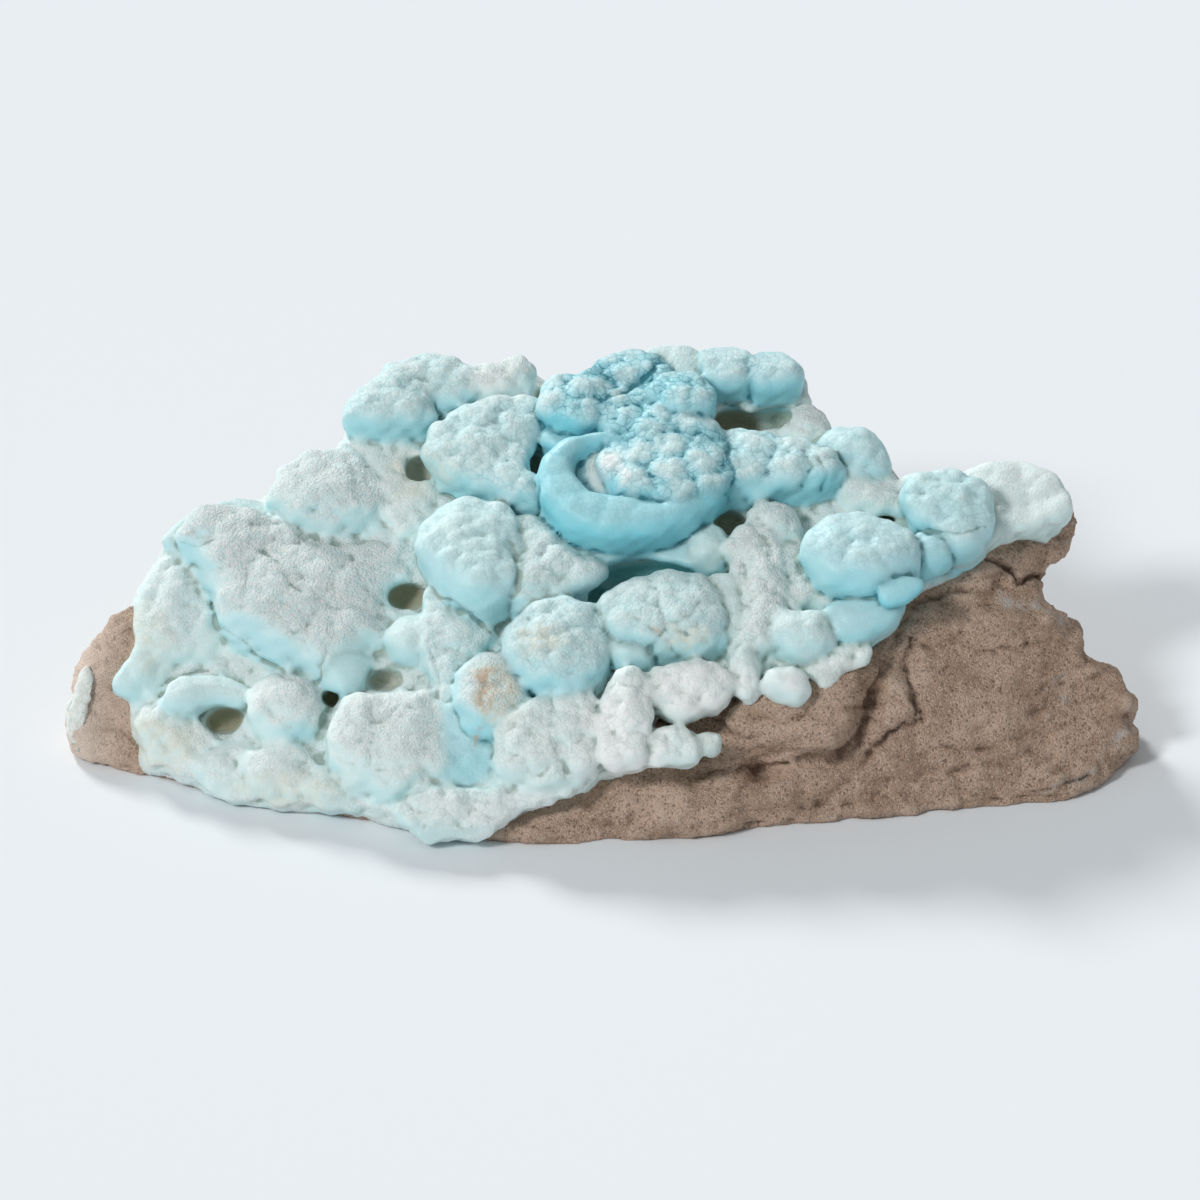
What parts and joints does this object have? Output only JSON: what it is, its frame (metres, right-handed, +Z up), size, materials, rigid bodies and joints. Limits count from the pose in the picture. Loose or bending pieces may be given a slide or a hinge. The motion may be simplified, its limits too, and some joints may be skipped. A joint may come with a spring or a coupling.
{
  "type": "aragonite mineral specimen",
  "caption": "Natural mineral specimen: pale blue, lobed aragonite crust over a brown sandy matrix stone, flat below so that it rests by itself.",
  "frame": {"origin": "middle of the bounding box's underside, on the surface the specimen rests on", "axes": "+Z up, +X along the specimen's length towards its bare stone end, -Y towards the viewer, where the crust's face slopes down"},
  "size_m": [0.1622, 0.0813, 0.0488],
  "materials": {
    "brown_sandstone": "matt, sandy, broken",
    "blue_aragonite": "waxy on the lobes' rims, sugary on their faces, slightly translucent",
    "white_aragonite": "matt, sugary"
  },
  "bodies": {
    "root": {"matrix_rock": "brown_sandstone", "aragonite_crust": "blue_aragonite", "west_end_crust": "white_aragonite"}
  },
  "joints": []
}
